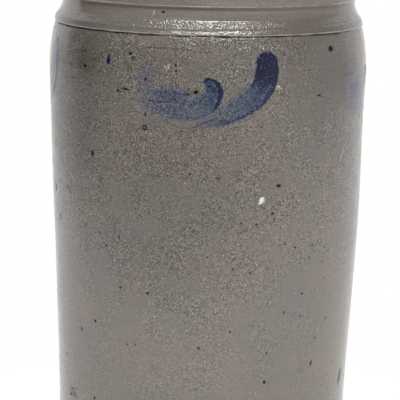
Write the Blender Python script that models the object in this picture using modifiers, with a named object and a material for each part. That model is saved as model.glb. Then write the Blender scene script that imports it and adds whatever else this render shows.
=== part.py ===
"""Salt-glazed stoneware crock: a one-gallon jar, thrown in one piece on the wheel.

The clay vessel is one turned solid. The brown slip that seals its inside and the cobalt slip
brushed round its shoulder are coats of other materials, so each is a thin solid of its own.
Metres, +Z up, origin at the centre of the foot, front of the jar towards -Y.
"""

import math

import bmesh
import bpy

# Heights of the vessel. The rim, neck, ring and shoulder stack down from the top.
HEIGHT = 0.254
RIM_HEIGHT = 0.0122  # collar, from its lower edge to the rim's top
NECK_HEIGHT = 0.0114  # hollow under the collar
RING_HEIGHT = 0.0042  # tooled bead at the foot of the neck
SHOULDER_DROP = 0.0213  # from the groove under the bead to the widest point

# Radii of the vessel
FOOT_RADIUS = 0.0811
SHOULDER_RADIUS = 0.0885  # the widest point
NECK_RADIUS = 0.0813  # the narrowest point, just under the collar
RIM_OVERHANG = 0.0014  # how far the collar stands out from the neck
RING_OVERHANG = 0.0044  # how far the bead stands out from the neck
RING_RELIEF = 0.0007  # how far the bead stands out from the groove under it

# Clay thicknesses and rounded corners
WALL = 0.0085
NECK_WALL = 0.0088
FLOOR = 0.0105
FLOOR_FILLET = 0.014
COLLAR_STEP = 0.0013  # height of the slope from the collar's lower edge in to the neck
LIP_ROUND = 0.0035
FOOT_ROUND = 0.0025

# Slip coats
COAT_GAP = 0.0003  # clearance between a coat and the clay under it
LINING = 0.0005
LINING_DROP = 0.009  # from the rim's top down to the lining's upper edge
SLIP = 0.0005  # thickness of a brush stroke

# Brush strokes. A swag is two arcs: a short one, and a long one that sweeps under it.
SWAG_DROP = 0.0207  # from the groove down to the short arc's centre
SHORT_SET_LEFT = 0.0145  # from the swag's middle left to the short arc's centre
SHORT_RADIUS = 0.0185
SHORT_WIDTH = 0.0118
LONG_RADIUS = 0.045
LONG_WIDTH = 0.0122
STROKE_GAP = 0.0017  # bare clay between the short stroke and the long one's tail
DRIP_LEFT = 0.057  # from the front's middle left to the drip
DRIP_DROP = 0.0132  # from the groove down to the drip's middle
DRIP_LENGTH = 0.0046
DRIP_WIDTH = 0.0022

# Directions on the jar, in degrees. Swags are placed by eye, so their spacing is uneven.
SWAG_ANGLES = {"front": 0, "right": 81, "back": 172, "left": 264}
SHORT_SWEEP = (172, 346)  # start and end of the short arc, anticlockwise from the right
LONG_SWEEP = (-92, -8)
CLOSEST = -98  # where the long arc passes closest to the short one

# How wide each stroke starts, as a share of its full width
SHORT_TAIL = 0.8
LONG_TAIL = 0.3
DRIP_TAIL = 0.6

# Fineness of the solids
TURN_STEPS = 64
ARC_STEPS = 4
STROKE_STEPS = 18
STROKE_ROWS = 3

# Places worked out from the sizes above
RIM_RADIUS = NECK_RADIUS + RIM_OVERHANG
RING_RADIUS = NECK_RADIUS + RING_OVERHANG
GROOVE_RADIUS = RING_RADIUS - RING_RELIEF
BORE_RADIUS = NECK_RADIUS - NECK_WALL
LIP = min(LIP_ROUND, 0.45 * (RIM_RADIUS - BORE_RADIUS))
COLLAR_Z = HEIGHT - RIM_HEIGHT
RING_TOP_Z = COLLAR_Z - NECK_HEIGHT
GROOVE_Z = RING_TOP_Z - RING_HEIGHT
SHOULDER_Z = GROOVE_Z - SHOULDER_DROP


def arc(upright, other, steps=ARC_STEPS):
    """Points (radius, height) of the circular arc that is vertical at upright and ends at other."""
    out = other[0] - upright[0]
    rise = other[1] - upright[1]
    radius = (out * out + rise * rise) / (2 * abs(out))
    turn = 2 * math.atan2(abs(out), abs(rise))
    points = []
    for step in range(steps + 1):
        angle = turn * step / steps
        r = upright[0] + math.copysign(radius * (1 - math.cos(angle)), out)
        z = upright[1] + math.copysign(radius * math.sin(angle), rise)
        points.append((r, z))
    return points


def outer_radius(z):
    """Radius of the wall and shoulder at height z, from the foot to the groove."""
    if z <= SHOULDER_Z:
        return FOOT_RADIUS + (SHOULDER_RADIUS - FOOT_RADIUS) * z / SHOULDER_Z
    fall = SHOULDER_RADIUS - GROOVE_RADIUS
    curve = (fall * fall + SHOULDER_DROP * SHOULDER_DROP) / (2 * fall)
    rise = min(z - SHOULDER_Z, SHOULDER_DROP)
    reach = math.sqrt(curve * curve - rise * rise)
    return SHOULDER_RADIUS - curve + math.copysign(reach, curve)


def inner_path():
    """The vessel's inside, from the middle of the floor up to the start of the lip."""
    fillet_top = (outer_radius(FLOOR + FLOOR_FILLET) - WALL, FLOOR + FLOOR_FILLET)
    fillet_foot = (fillet_top[0] - FLOOR_FILLET, FLOOR)
    shoulder = (SHOULDER_RADIUS - WALL, SHOULDER_Z)
    bore_foot = (BORE_RADIUS, RING_TOP_Z)
    halfway = ((shoulder[0] + bore_foot[0]) / 2, (shoulder[1] + bore_foot[1]) / 2)
    path = [(0, FLOOR)]
    path += reversed(arc(fillet_top, fillet_foot))
    path += arc(shoulder, halfway)
    path += reversed(arc(bore_foot, halfway)[:-1])
    path.append((BORE_RADIUS, HEIGHT - LIP))
    return path


def outer_path():
    """The vessel's outside, from the rim's flat top down to the middle of the foot."""
    bead = (RING_RADIUS, GROOVE_Z + RING_HEIGHT / 2)
    path = list(reversed(arc((RIM_RADIUS, HEIGHT - LIP), (RIM_RADIUS - LIP, HEIGHT))))
    path.append((RIM_RADIUS, COLLAR_Z))
    path += arc((NECK_RADIUS, COLLAR_Z - COLLAR_STEP), (GROOVE_RADIUS, RING_TOP_Z))
    path += reversed(arc(bead, (GROOVE_RADIUS, RING_TOP_Z), 2)[:-1])
    path += arc(bead, (GROOVE_RADIUS, GROOVE_Z), 2)[1:]
    path += reversed(arc((SHOULDER_RADIUS, SHOULDER_Z), (GROOVE_RADIUS, GROOVE_Z))[:-1])
    path += arc((outer_radius(FOOT_ROUND), FOOT_ROUND), (FOOT_RADIUS - FOOT_ROUND, 0))
    path.append((0, 0))
    return path


def offset(path, distance):
    """The path moved sideways, to the left of its direction, which is into the vessel's hollow."""
    moved = []
    for index, (r, z) in enumerate(path):
        before = path[max(index - 1, 0)]
        after = path[min(index + 1, len(path) - 1)]
        run, rise = after[0] - before[0], after[1] - before[1]
        length = math.hypot(run, rise)
        sideways = 0 if index == 0 else -rise / length
        upward = 1 if index == 0 else run / length
        moved.append((r + distance * sideways, z + distance * upward))
    return moved


def add_object(name, mesh, material, parent):
    """A named object for the mesh, with its material, in the crock's collection."""
    if not mesh.materials:
        mesh.materials.append(material)
    piece = bpy.data.objects.new(name, mesh)
    piece.parent = parent
    parent.users_collection[0].objects.link(piece)
    return piece


def turned(name, profile, material, parent):
    """A solid of revolution: the profile swept round Z by a Screw modifier."""
    mesh = bpy.data.meshes.new(name)
    points = [(r, 0, z) for r, z in profile]
    mesh.from_pydata(points, [(i, i + 1) for i in range(len(points) - 1)], [])
    piece = add_object(name, mesh, material, parent)
    screw = piece.modifiers.new("Turn", "SCREW")
    screw.axis = "Z"
    screw.angle = 2 * math.pi
    screw.steps = TURN_STEPS
    screw.render_steps = TURN_STEPS
    screw.use_merge_vertices = True
    screw.merge_threshold = 0.00001
    screw.use_smooth_shade = True
    return piece


def on_wall(across, z):
    """The point just off the jar's front, so far to the right of its middle and at height z."""
    angle = across / SHOULDER_RADIUS
    r = outer_radius(z) + COAT_GAP
    return (r * math.sin(angle), -r * math.cos(angle), z)


def stroke_mesh(name, centre, radius, sweep, width, tail):
    """A curved stroke as a grid laid on the wall, thin at its tail and round at its head."""
    swell = 0.5  # share of the length over which the brush is pressed to its full width
    tip = 0.12  # share of the length over which each end rounds off
    blunt = 0.3  # the narrowest share of the width, at the very ends
    start, end = (math.radians(degrees) for degrees in sweep)
    bm = bmesh.new()
    bmesh.ops.create_grid(bm, x_segments=STROKE_STEPS, y_segments=STROKE_ROWS, size=0.5)
    for vert in bm.verts:
        along = vert.co.x + 0.5
        pressed = tail + (1 - tail) * min(1, along / swell)
        inside = max(0, min(1, along / tip, (1 - along) / tip))
        breadth = width * pressed * max(blunt, math.sqrt(inside * (2 - inside)))
        angle = start + (end - start) * along
        reach = radius - vert.co.y * breadth
        across = centre[0] + reach * math.cos(angle)
        vert.co = on_wall(across, centre[1] + reach * math.sin(angle))
    mesh = bpy.data.meshes.new(name)
    bm.to_mesh(mesh)
    bm.free()
    mesh.shade_smooth()
    return mesh


def laid_slip(name, mesh, material, parent, degrees=0):
    """A stroke's skin, thickened outwards and turned to its place round the jar."""
    piece = add_object(name, mesh, material, parent)
    piece.rotation_euler.z = math.radians(degrees)
    coat = piece.modifiers.new("Coat", "SOLIDIFY")
    coat.thickness = SLIP
    coat.offset = 1
    return piece


def glaze(name, colour, roughness):
    """A fired surface of one colour."""
    material = bpy.data.materials.new(name)
    material.use_nodes = True
    shader = material.node_tree.nodes["Principled BSDF"]
    shader.inputs["Base Color"].default_value = (*colour, 1)
    shader.inputs["Roughness"].default_value = roughness
    shader.inputs["Metallic"].default_value = 0
    return material


def build_vessel(clay, parent):
    """The thrown pot: inside, lip and outside as one closed profile."""
    lip = arc((BORE_RADIUS, HEIGHT - LIP), (BORE_RADIUS + LIP, HEIGHT))
    return turned("crock_body", inner_path() + lip[1:] + outer_path(), clay, parent)


def build_lining(slip, parent):
    """The inside coat: it follows the clay's inner face up to a line below the rim."""
    path = inner_path()[:-1] + [(BORE_RADIUS, HEIGHT - LINING_DROP)]
    face = offset(path, COAT_GAP + LINING)
    back = offset(path, COAT_GAP)
    return turned("slip_lining", face + back[::-1], slip, parent)


def build_swags(cobalt, parent):
    """The strokes of every swag. One mesh serves all the long strokes, and one the short ones."""
    short_centre = (-SHORT_SET_LEFT, GROOVE_Z - SWAG_DROP)
    # The long arc's circle holds the short stroke inside it, with the gap at the closest place.
    tail_reach = SHORT_RADIUS + SHORT_WIDTH / 2 + STROKE_GAP + LONG_TAIL * LONG_WIDTH / 2
    apart = tail_reach - LONG_RADIUS
    long_centre = (
        short_centre[0] + apart * math.cos(math.radians(CLOSEST)),
        short_centre[1] + apart * math.sin(math.radians(CLOSEST)),
    )
    short = stroke_mesh(
        "short_stroke", short_centre, SHORT_RADIUS, SHORT_SWEEP, SHORT_WIDTH, SHORT_TAIL
    )
    long = stroke_mesh(
        "long_stroke", long_centre, LONG_RADIUS, LONG_SWEEP, LONG_WIDTH, LONG_TAIL
    )
    for side, degrees in SWAG_ANGLES.items():
        laid_slip(f"{side}_short_stroke", short, cobalt, parent, degrees)
        laid_slip(f"{side}_long_stroke", long, cobalt, parent, degrees)


def build_drip(cobalt, parent):
    """The drop of cobalt left of the front swag, painted as a very short upright stroke."""
    bend = 10 * DRIP_LENGTH  # an arc this wide is nearly straight
    half = math.degrees(DRIP_LENGTH / (2 * bend))
    centre = (bend - DRIP_LEFT, GROOVE_Z - DRIP_DROP)
    mesh = stroke_mesh("cobalt_drip", centre, bend, (180 - half, 180 + half), DRIP_WIDTH, DRIP_TAIL)
    laid_slip("cobalt_drip", mesh, cobalt, parent)


def main():
    for old in list(bpy.data.objects):
        bpy.data.objects.remove(old)
    collection = bpy.data.collections.new("stoneware_crock")
    bpy.context.scene.collection.children.link(collection)
    crock = bpy.data.objects.new("crock", None)
    collection.objects.link(crock)

    build_vessel(glaze("salt_glazed_stoneware", (0.205, 0.183, 0.163), 0.38), crock)
    build_lining(glaze("brown_slip", (0.045, 0.022, 0.013), 0.3), crock)
    cobalt = glaze("cobalt_slip", (0.028, 0.04, 0.095), 0.32)
    build_swags(cobalt, crock)
    build_drip(cobalt, crock)


main()
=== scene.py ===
# %% [markdown]
# # A salt-glazed stoneware crock
#
# This lesson dresses the solids of a one-gallon storage jar until it looks like one that came out of a
# salt kiln: thrown on a wheel, ringed with a tool, lined with brown slip and brushed with cobalt.
# The solids give the size and the place of everything, so they are loaded first, and their box gives
# the jar's height and width.

# %% Load the solids that the jar is dressed over
import bisect
import math
import random

import bmesh
import bpy
from mathutils import Matrix, Vector, kdtree, noise


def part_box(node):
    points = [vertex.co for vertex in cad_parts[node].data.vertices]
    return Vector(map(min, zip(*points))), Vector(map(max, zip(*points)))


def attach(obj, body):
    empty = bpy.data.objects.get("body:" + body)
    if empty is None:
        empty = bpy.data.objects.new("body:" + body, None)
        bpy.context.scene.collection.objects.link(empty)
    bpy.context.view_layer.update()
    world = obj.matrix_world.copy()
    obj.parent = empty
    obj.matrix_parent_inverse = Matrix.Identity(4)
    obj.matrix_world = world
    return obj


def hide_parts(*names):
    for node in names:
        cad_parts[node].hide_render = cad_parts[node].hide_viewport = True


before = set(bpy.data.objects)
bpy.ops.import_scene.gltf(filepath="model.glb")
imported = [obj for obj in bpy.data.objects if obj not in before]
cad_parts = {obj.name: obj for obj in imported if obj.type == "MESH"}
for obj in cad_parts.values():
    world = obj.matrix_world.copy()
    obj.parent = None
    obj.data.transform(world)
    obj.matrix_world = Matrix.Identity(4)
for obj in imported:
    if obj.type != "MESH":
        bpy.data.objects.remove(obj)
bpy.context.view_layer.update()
MM = 0.001
clay_low, clay_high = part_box("crock_body")
TOP = clay_high.z / MM
WIDEST = (clay_high.x - clay_low.x) / 2 / MM
print(f"{len(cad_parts)} solids, jar {TOP:.1f} mm tall and {2 * WIDEST:.1f} mm across")

# %% [markdown]
# ## The camera
#
# The picture was taken with a long lens from a little above the rim, so the ring and the neck show as
# flat curves. A camera is placed by a chain of plain moves, read from right to left: roll it, tip it
# down, turn it, then carry it to its stand. That is easier to follow than a target and a constraint.

# %% Stand the camera in front of the jar
STAND_DISTANCE = 1.239
STAND_HEIGHT = 0.3409
TIP_DOWN = math.radians(9.885)
TURN_LEFT = math.radians(0.134)
ROLL = math.radians(1.12)
LENS = 199.75
FILM_WIDTH = 36.0

scene = bpy.context.scene
camera_data = bpy.data.cameras.new("studio_camera")
camera_data.sensor_width = FILM_WIDTH
camera_data.lens = LENS
camera = bpy.data.objects.new("studio_camera", camera_data)
camera.matrix_world = (
    Matrix.Translation((0.0, -STAND_DISTANCE, STAND_HEIGHT))
    @ Matrix.Rotation(TURN_LEFT, 4, "Z")
    @ Matrix.Rotation(math.pi / 2 - TIP_DOWN, 4, "X")
    @ Matrix.Rotation(ROLL, 4, "Z")
)
scene.collection.objects.link(camera)
scene.camera = camera
scene.view_settings.view_transform = "Standard"
print("camera at", [round(value, 3) for value in camera.matrix_world.translation])

# %% [markdown]
# ## The profile of the wall
#
# A thrown jar is a shape of turning, so half of its cut-through outline is enough. The outline could
# be typed in as hundreds of points. It is better drawn as a potter's template is, as the few corners
# of foot, shoulder, ring, neck and rim, each with how far its rounding reaches along both sides, and
# the bevel operator then rounds them. Heights are counted from the rim down, as the solids have them.

# %% Mark the corners of the outline
RIDGE_UP = TOP - 12.2
RING_UP = RIDGE_UP - 11.4
GROOVE_UP = RING_UP - 4.2
SHOULDER_UP = GROOVE_UP - 21.3
FOOT_RADIUS = WIDEST - 7.4
NECK_RADIUS = WIDEST - 7.5
BORE_RADIUS = NECK_RADIUS - 8.5
WALL = 8.5
FLOOR = 10.5
FLOOR_FLARE = 0.4
FLOOR_ROUND = 13.5
BELLY_ROUND = 9.0
BORE_ROUND = 6.0

# Each row is a radius, a height and the reach of the rounding, in millimetres.
OUTLINE = (
    (0.0, 0.0, 0.0),
    (FOOT_RADIUS, 0.0, 2.4),
    (FOOT_RADIUS + 0.7, 30.0, 8.0),
    (FOOT_RADIUS + 3.2, 80.0, 16.0),
    (FOOT_RADIUS + 5.65, 134.0, 14.0),
    (FOOT_RADIUS + 6.2, 170.0, 12.0),
    (WIDEST + 0.4, GROOVE_UP - 11.9, 12.0),
    (WIDEST - 2.9, GROOVE_UP - 0.55, 0.3),
    (WIDEST - 3.2, GROOVE_UP + 0.05, 0.15),
    (WIDEST - 2.55, GROOVE_UP + 0.55, 0.25),
    (WIDEST - 2.55, GROOVE_UP + 1.0, 0.4),
    (WIDEST - 5.75, GROOVE_UP + 7.2, 1.4),
    (NECK_RADIUS + 0.3, GROOVE_UP + 11.2, 1.6),
    (NECK_RADIUS, RIDGE_UP - 1.0, 0.35),
    (NECK_RADIUS + 1.5, RIDGE_UP - 0.5, 0.15),
    (NECK_RADIUS + 0.95, RIDGE_UP - 0.1, 0.12),
    (NECK_RADIUS + 0.95, TOP - 6.0, 3.0),
    (NECK_RADIUS + 0.5, TOP - 0.3, 2.8),
    (NECK_RADIUS - 3.7, TOP, 1.8),
    (BORE_RADIUS + 0.2, TOP - 0.4, 2.6),
    (BORE_RADIUS, RING_UP, BORE_ROUND),
    (WIDEST - WALL, SHOULDER_UP, BELLY_ROUND),
    (FOOT_RADIUS - WALL + FLOOR_FLARE, FLOOR, FLOOR_ROUND),
    (0.0, FLOOR, 0.0),
)
print(f"{len(OUTLINE)} corners, ring at {RING_UP:.1f} mm, shoulder at {SHOULDER_UP:.1f} mm")

# %% Join the corners and round them
ARC_STEPS = 7


def draw_outline(corners):
    """Returns a bmesh wire through the corners, each rounded by a bevel of its vertex."""
    wire = bmesh.new()
    knots = [wire.verts.new((radius * MM, 0.0, up * MM)) for radius, up, reach in corners]
    for start, end in zip(knots, knots[1:]):
        wire.edges.new((start, end))
    for knot, (radius, up, reach) in zip(knots, corners):
        if reach:
            bmesh.ops.bevel(wire, geom=[knot], offset=reach * MM, offset_type="OFFSET",
                            affect="VERTICES", segments=ARC_STEPS, profile=0.5, material=-1)
    return wire


outline = draw_outline(OUTLINE)
print(f"outline with {len(outline.verts)} points")

# %% [markdown]
# The wall will be pressed, scored and pitted, and a vertex can only be moved where there is one. So
# the outline gets more points, closest where the tool cut the ring and the neck, and widest where the
# lining or the shelf hides the clay.

# %% Add rows where the surface needs them
ROW_WALL = 2.2
ROW_RING = 0.3
ROW_NECK = 1.0
ROW_FOOT = 5.0
ROW_HIDDEN = 12.0
LINING_TOP = TOP - 9.0


def row_gap(middle):
    """Returns how far apart rows lie on the outline near a point of it, in millimetres."""
    radius = middle.x / MM
    up = middle.z / MM
    if radius < FOOT_RADIUS - 0.2 and up < FLOOR - 0.2:
        return ROW_FOOT
    if radius < FOOT_RADIUS - 0.2 and up < LINING_TOP - 3.0:
        return ROW_HIDDEN
    if RING_UP + 2.5 < up < RIDGE_UP - 2.0 or up > RIDGE_UP + 1.5:
        return ROW_NECK
    return ROW_RING if up > GROOVE_UP - 1.5 else ROW_WALL


def add_rows(wire, gap_near):
    """Divides each edge of a wire into lengths that are no longer than the gap near it."""
    for edge in list(wire.edges):
        middle = (edge.verts[0].co + edge.verts[1].co) / 2
        cuts = math.ceil(edge.calc_length() / MM / gap_near(middle)) - 1
        if cuts > 0:
            bmesh.ops.subdivide_edges(wire, edges=[edge], cuts=cuts)


def measure_along(wire):
    """Gives each point of the outline its way along it from the middle of the foot, in millimetres."""
    along = wire.verts.layers.float.new("along")
    here = min(wire.verts, key=lambda vert: vert.co.length)
    walked = 0.0
    came_by = None
    while True:
        here[along] = walked
        onward = [edge for edge in here.link_edges if edge is not came_by]
        if not onward:
            return walked
        came_by = onward[0]
        walked += came_by.calc_length() / MM
        here = came_by.other_vert(here)


add_rows(outline, row_gap)
ALL_ALONG = measure_along(outline)
OUTSIDE = sorted((v.co.z / MM, v.co.x / MM) for v in outline.verts if v.co.x / MM > FOOT_RADIUS - 0.5)
OUTSIDE_UP = [up for up, radius in OUTSIDE]
print(f"outline with {len(outline.verts)} points, {len(OUTSIDE)} of them on the outside")

# %% Look up the wall's radius at a height


def wall_radius(up):
    """Returns the outside radius at a height, both in millimetres."""
    index = min(max(bisect.bisect(OUTSIDE_UP, up), 1), len(OUTSIDE) - 1)
    low_up, low_radius = OUTSIDE[index - 1]
    high_up, high_radius = OUTSIDE[index]
    share = min(max((up - low_up) / max(high_up - low_up, 1e-6), 0.0), 1.0)
    return low_radius + share * (high_radius - low_radius)


print("radius at the foot, belly and shoulder:",
      [round(wall_radius(up), 2) for up in (5.0, 135.0, SHOULDER_UP)])

# %% [markdown]
# ## Throwing the jar
#
# The wheel becomes the spin operator: the outline is swept once round the axis, the last column is
# merged with the first, and the points that fall together on the axis are merged too. Normals are
# made to agree afterwards, because a spin can leave a shape inside out.

# %% Spin the outline round the axis
COLUMNS = 224
MERGE = 1e-6


def spin_round(wire, columns):
    """Sweeps a wire once round the axis and leaves a mesh with closed poles and outward faces."""
    bmesh.ops.spin(wire, geom=wire.verts[:] + wire.edges[:], cent=(0, 0, 0), axis=(0, 0, 1),
                   angle=math.tau, steps=columns, use_merge=True)
    bmesh.ops.remove_doubles(wire, verts=wire.verts[:], dist=MERGE)
    bmesh.ops.recalc_face_normals(wire, faces=wire.faces[:])
    for face in wire.faces:
        face.smooth = True
    return wire


shell = spin_round(outline, COLUMNS)
print(f"clay with {len(shell.verts)} points and {len(shell.faces)} faces")

# %% [markdown]
# ## What the kiln and a long life left
#
# Iron in the clay bled through as dark pits, grit tore short dashes under the rib, and a few knocks
# opened pale chips. They could be a texture alone, but a pit catches the light at its lip, so each is
# a real dent with its own place. The ones on the front are listed one by one, by how far they lie across
# from the middle and how high up, and the rest of the jar gets its own by a seeded draw.

# %% List the flaws on the front
# Arc lengths are counted on a circle of this radius, in millimetres.
ROUND_THE_JAR = 88.5

# Across, up, half width, half height, tilt in degrees: pits where iron bled out.
IRON_PITS = (
    (-74.0, 207.0, 1.1, 0.9, 0), (-43.0, 215.8, 0.75, 0.7, 0), (-41.0, 214.0, 0.7, 0.55, 0),
    (-17.0, 211.0, 0.7, 0.5, 10), (-16.7, 208.0, 0.6, 0.55, 0), (-50.0, 196.0, 0.7, 0.75, 0),
    (-45.2, 197.0, 1.8, 0.5, -9), (-6.0, 197.4, 1.3, 0.75, 8), (-9.8, 196.2, 1.3, 0.35, 10),
    (-33.2, 203.0, 0.5, 0.9, -25), (-33.4, 184.7, 0.4, 0.9, -10), (-68.6, 160.3, 0.85, 1.5, 0),
    (75.0, 218.5, 1.6, 1.3, 0), (65.5, 194.2, 1.9, 0.42, -16), (41.0, 147.0, 1.1, 0.75, 0),
    (37.8, 132.3, 0.8, 0.7, 0), (-26.4, 238.0, 0.75, 0.6, 0), (6.5, 151.7, 0.5, 0.5, 0),
    (30.0, 179.0, 0.5, 0.5, 0), (60.0, 86.4, 0.55, 0.5, 0), (48.0, 77.0, 0.5, 0.45, 0),
    (60.0, 73.4, 0.45, 0.5, 0), (15.5, 68.0, 0.5, 0.45, 0), (38.0, 55.0, 0.5, 0.45, 0),
    (71.0, 45.6, 0.6, 1.15, -25), (37.6, 38.8, 0.8, 0.75, 0), (73.0, 60.0, 0.4, 0.5, 0),
    (82.0, 69.5, 0.5, 0.6, 0), (-69.0, 67.4, 0.75, 0.7, 0), (-82.0, 60.5, 0.5, 1.1, 15),
    (-59.0, 110.7, 0.6, 0.5, 0), (-31.7, 87.6, 0.6, 0.5, 0), (-45.2, 57.5, 0.6, 0.45, 0),
    (-2.0, 59.0, 0.6, 0.5, 0), (-71.0, 23.3, 0.7, 0.7, 0), (-103.0, 41.8, 0.55, 0.65, 0),
    (108.0, 31.5, 1.2, 4.2, -25), (-114.5, 134.8, 1.7, 1.6, 0), (-107.0, 119.5, 0.5, 1.5, 0),
    (-94.4, 24.0, 0.9, 0.55, 0), (-92.4, 21.4, 0.8, 0.5, 0), (-97.2, 20.2, 1.1, 0.6, 0),
    (-90.0, 24.8, 0.6, 0.4, 0),
)
# Across and up: small specks, all of one size.
SPECKS = (
    (93.7, 42.6), (76.7, 93.0), (63.7, 106.0), (25.9, 100.5), (16.0, 102.3), (1.8, 109.0), (-49.3, 88.9),
    (-39.9, 58.2), (-8.5, 153.7), (-81.4, 127.9), (-75.7, 119.8), (-63.9, 117.5), (-49.4, 116.7),
    (20.1, 127.6), (28.8, 126.7), (20.3, 122.4), (65.6, 112.8), (46.4, 115.2), (53.2, 112.6),
    (76.1, 110.2), (74.1, 102.1), (61.7, 140.4), (69.0, 113.7), (38.9, 129.1),
)
SPECK_HALF = 0.46
# Across, up and radius: a blister burst here and left a ring of dark dots.
BLISTER = (-33.7, 177.3, 1.1)
# Across, up, half width, half height, tilt in degrees: one pale chip, broken in three bites.
CHIPS = ((31.1, 139.6, 1.0, 1.5, -20), (30.2, 138.2, 0.4, 0.8, -35), (31.9, 140.6, 0.45, 0.6, 0))
# Across, up, half width, half height, tilt in degrees: pale scratches.
SCRATCHES = (
    (-90.5, 170.0, 0.3, 2.0, 48), (-88.0, 144.2, 0.25, 3.0, 55), (-36.8, 221.1, 1.8, 0.2, 22),
    (88.8, 158.9, 0.3, 4.0, -33), (-32.0, 237.6, 0.3, 1.3, -10),
)
# Across, up, half width, half height, tilt in degrees: dark lines.
DARK_LINES = (
    (-1.2, 181.3, 7.4, 0.26, 22), (-25.0, 191.7, 6.0, 0.2, 0), (-10.5, 196.0, 1.6, 0.3, 8),
    (-92.0, 137.0, 0.25, 3.6, 57),
)
# Across, up, half width, half height, tilt in degrees: dull drags of the rib.
DRAGS = (
    (-78.0, 214.6, 4.0, 0.5, 3), (-87.0, 207.0, 3.4, 0.6, 4), (-66.0, 211.3, 3.0, 0.5, 2),
    (-84.0, 200.0, 2.6, 0.5, 3), (-29.0, 219.6, 6.0, 0.35, 1), (-94.0, 22.0, 4.0, 2.0, -20),
)
# Across, up, half width, half height, number of dots: clusters of pale dots painted as glints, painted
# highlights where the glaze sparkles.
GLINT_CLUSTERS = ((-22.0, 210.0, 2.6, 2.4, 12), (38.0, 199.5, 3.0, 1.0, 9), (28.0, 220.5, 13.0, 1.8, 12))
print(f"{len(IRON_PITS)} pits, {len(SPECKS)} specks and {len(SCRATCHES)} scratches on the front")

# %% Draw lots for the flaws of the sides and the back
HIDDEN_PITS = 64
HIDDEN_CHIPS = 4
PIT_HALF = (0.4, 0.95)
CHIP_HALF = (0.4, 0.9)
FRONT_HALF = 122.0
LOTS_LOW = 14.0
LOTS_HIGH = 221.0
TALLNESS = (0.7, 0.9, 1.0, 2.2)
MOST_TILT = 30.0
lots = random.Random(18)


def draw_lots(count, least, most):
    """Returns flaws at random places outside the part of the jar that the front view shows."""
    half_round = math.pi * ROUND_THE_JAR
    drawn = []
    for _ in range(count):
        across = lots.uniform(FRONT_HALF, 2 * half_round - FRONT_HALF)
        half_wide = lots.uniform(least, most)
        half_high = half_wide * lots.choice(TALLNESS)
        up = lots.uniform(LOTS_LOW, LOTS_HIGH)
        drawn.append((across, up, half_wide, half_high, lots.uniform(-MOST_TILT, MOST_TILT)))
    return drawn


pits = list(IRON_PITS) + draw_lots(HIDDEN_PITS, *PIT_HALF)
pits += [(across, up, SPECK_HALF, SPECK_HALF, 0) for across, up in SPECKS]
chips = list(CHIPS) + draw_lots(HIDDEN_CHIPS, *CHIP_HALF)
print(f"{len(pits)} pits and {len(chips)} chips on the wall")

# %% Add the blister and the pits of the rim
BLISTER_DOTS = 7
BLISTER_HALF = 0.4
RIM_PITS = 16
RIM_HALF = (0.3, 0.6)

for step in range(BLISTER_DOTS):
    turn = math.tau * step / BLISTER_DOTS
    pits.append((BLISTER[0] + BLISTER[2] * math.cos(turn), BLISTER[1] + BLISTER[2] * math.sin(turn),
                 BLISTER_HALF, BLISTER_HALF, 0))
for step in range(RIM_PITS):
    across = math.tau * ROUND_THE_JAR * (step + lots.random()) / RIM_PITS
    half = lots.uniform(*RIM_HALF)
    pits.append((across, lots.uniform(RIDGE_UP + 1.5, TOP - 0.6), half, half, 0))
print(f"{len(pits)} pits on the whole jar")

# %% Gather the flaws with how strongly each shows
SCRATCH_FAINT = 0.35
DARK_LINE = 0.75
GLINT_HALF = 0.22
GLINT_PALE = 0.6
DRAG_FAINT = 0.42

flaws = [("iron", 1.0, pit) for pit in pits] + [("chip", 1.0, chip) for chip in chips]
flaws += [("chip", SCRATCH_FAINT, scratch) for scratch in SCRATCHES]
flaws += [("iron", DARK_LINE, line) for line in DARK_LINES]
flaws += [("iron", DRAG_FAINT, drag) for drag in DRAGS]
# Painted glints: clusters of pale dots that stand in for sparkles of the glaze, kept with the chips.
for across, up, half_wide, half_high, glints in GLINT_CLUSTERS:
    for _ in range(glints):
        place = (across + lots.gauss(0.0, 0.5) * half_wide, up + lots.gauss(0.0, 0.5) * half_high)
        flaws.append(("chip", GLINT_PALE, (*place, lots.uniform(1.0, 2.0) * GLINT_HALF, GLINT_HALF, 0)))
print(f"{len(flaws)} flaws gathered")

# %% Map the flaws onto the wall


def on_wall(across, up, proud=0.0):
    """Returns the place on the wall at an arc length from the front's middle and a height, in metres."""
    turn = across / ROUND_THE_JAR
    radius = (wall_radius(up) + proud) * MM
    return Vector((radius * math.sin(turn), -radius * math.cos(turn), up * MM))


flaw_map = kdtree.KDTree(len(flaws))
for number, (kind, strength, flaw) in enumerate(flaws):
    flaw_map.insert(on_wall(flaw[0], flaw[1]), number)
flaw_map.balance()
print("the chip on the front lies at", [round(value, 3) for value in on_wall(*CHIPS[0][:2])])

# %% Find the flaws at a place
FLAW_REACH = 9.0
PIT_DEPTH = 0.22
CHIP_DEPTH = 0.3
LIP_RAGGED = 0.3
LIP_GRAIN = 0.9
LIP_FULL = 0.95
LIP_GONE = 1.5


def ease(low, high, value):
    """Returns 0 below low and 1 above high, with a smooth rise between."""
    share = min(max((value - low) / (high - low), 0.0), 1.0)
    return share * share * (3 - 2 * share)


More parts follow.
